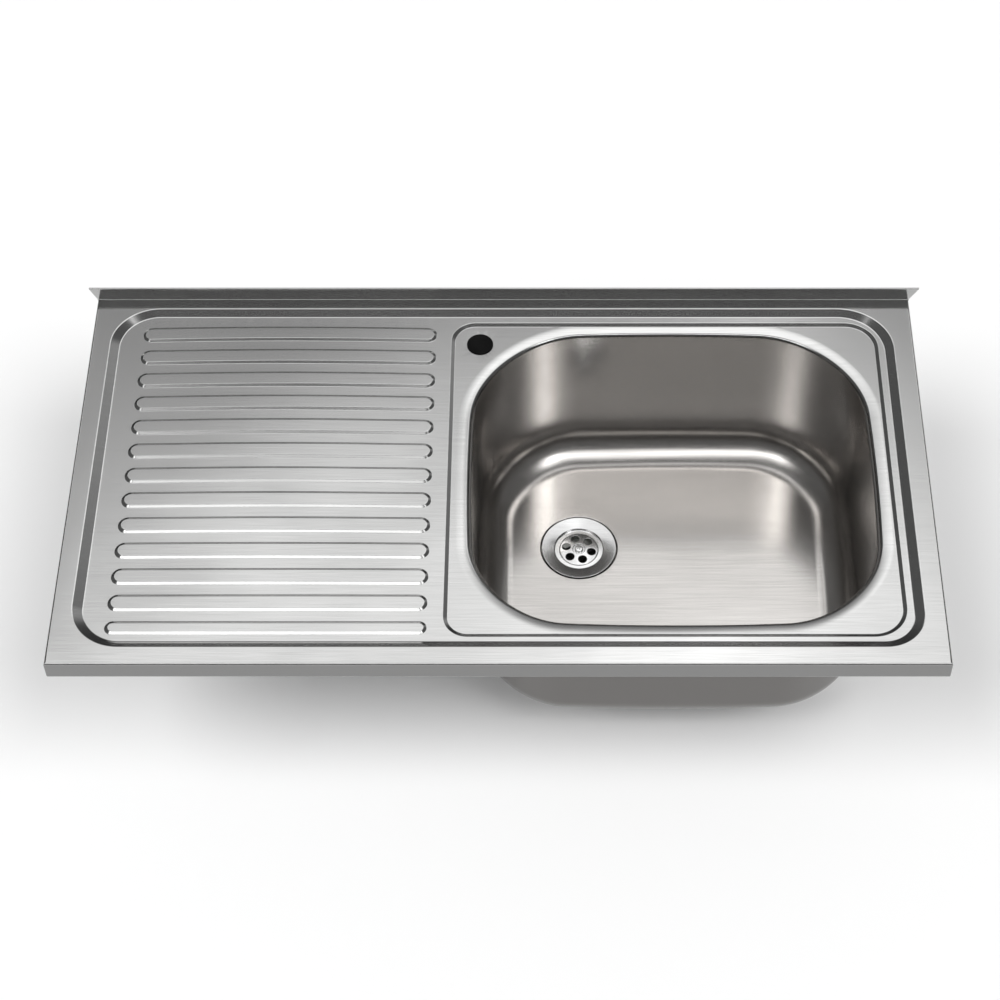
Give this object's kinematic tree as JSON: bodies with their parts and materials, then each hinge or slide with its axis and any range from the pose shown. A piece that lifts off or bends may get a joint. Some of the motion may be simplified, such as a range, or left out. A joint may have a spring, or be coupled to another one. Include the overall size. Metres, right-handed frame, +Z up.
{
  "type": "kitchen sink with drainboard",
  "caption": "Sit-on pressed steel kitchen sink with a ribbed drainer on the left, a deep bowl on the right, a strainer waste and a folded upstand at the back.",
  "frame": {"origin": "middle of the front seat face, the underside of the front return flange, 6 mm behind the front face", "axes": "+X to the right along the front edge, +Y to the wall behind, +Z up"},
  "size_m": [1.0193, 0.54, 0.3172],
  "materials": {
    "deck_steel": "satin stainless sheet, brushed along the length",
    "bowl_steel": "deep-drawn stainless, satin",
    "waste_steel": "polished stainless",
    "plated_steel": "zinc-plated steel",
    "brass": "plain brass",
    "rubber": "black rubber",
    "black_plastic": "moulded black plastic",
    "white_plastic": "moulded white polypropylene",
    "deadening": "self-adhesive sound-deadening sheet"
  },
  "bodies": {
    "sink": {"deck": "deck_steel", "bowl_wall": "bowl_steel", "bowl_floor": "bowl_steel", "waste_flange": "waste_steel", "waste_flange_seal": "rubber", "waste_body_seal": "rubber", "waste_body": "white_plastic", "waste_insert": "brass", "outlet_washer": "rubber", "drainer_rail_left": "plated_steel", "drainer_rail_right": "plated_steel", "drainer_pad": "deadening", "bowl_pad": "deadening", "earth_tag": "plated_steel", "earth_screw": "brass"},
    "hole_plug": {"tap_hole_plug": "black_plastic"},
    "strainer_screw": {"waste_screw": "waste_steel"},
    "trap_nut": {"outlet_nut": "white_plastic"},
    "hook_left_front": {"clip_left_front": "plated_steel"},
    "hook_left_back": {"clip_left_back": "plated_steel"},
    "hook_right_front": {"clip_right_front": "plated_steel"},
    "hook_right_back": {"clip_right_back": "plated_steel"},
    "hook_back_left": {"clip_back_left": "plated_steel"},
    "hook_back_right": {"clip_back_right": "plated_steel"}
  },
  "joints": [
    {"name": "plug_lift", "type": "slide", "parent": "sink", "child": "hole_plug", "axis": [0, 0, 1], "range_m": [0, 0.04]},
    {"name": "strainer_screw_turn", "type": "hinge", "parent": "sink", "child": "strainer_screw", "pos_m": [0.0941, 0.3174, -0.205], "axis": [0, 0, 1], "continuous": true},
    {"name": "trap_nut_turn", "type": "hinge", "parent": "sink", "child": "trap_nut", "pos_m": [0.0941, 0.3174, -0.26], "axis": [0, 0, 1], "continuous": true},
    {"name": "hook_left_front_slide", "type": "slide", "parent": "sink", "child": "hook_left_front", "axis": [0, 1, 0], "range_m": [-0.08, 0.1]},
    {"name": "hook_left_back_slide", "type": "slide", "parent": "sink", "child": "hook_left_back", "axis": [0, 1, 0], "range_m": [-0.1, 0.08]},
    {"name": "hook_right_front_slide", "type": "slide", "parent": "sink", "child": "hook_right_front", "axis": [0, 1, 0], "range_m": [-0.08, 0.1]},
    {"name": "hook_right_back_slide", "type": "slide", "parent": "sink", "child": "hook_right_back", "axis": [0, 1, 0], "range_m": [-0.1, 0.08]},
    {"name": "hook_back_left_slide", "type": "slide", "parent": "sink", "child": "hook_back_left", "axis": [1, 0, 0], "range_m": [-0.08, 0.08]},
    {"name": "hook_back_right_slide", "type": "slide", "parent": "sink", "child": "hook_back_right", "axis": [1, 0, 0], "range_m": [-0.1, 0.1]}
  ]
}
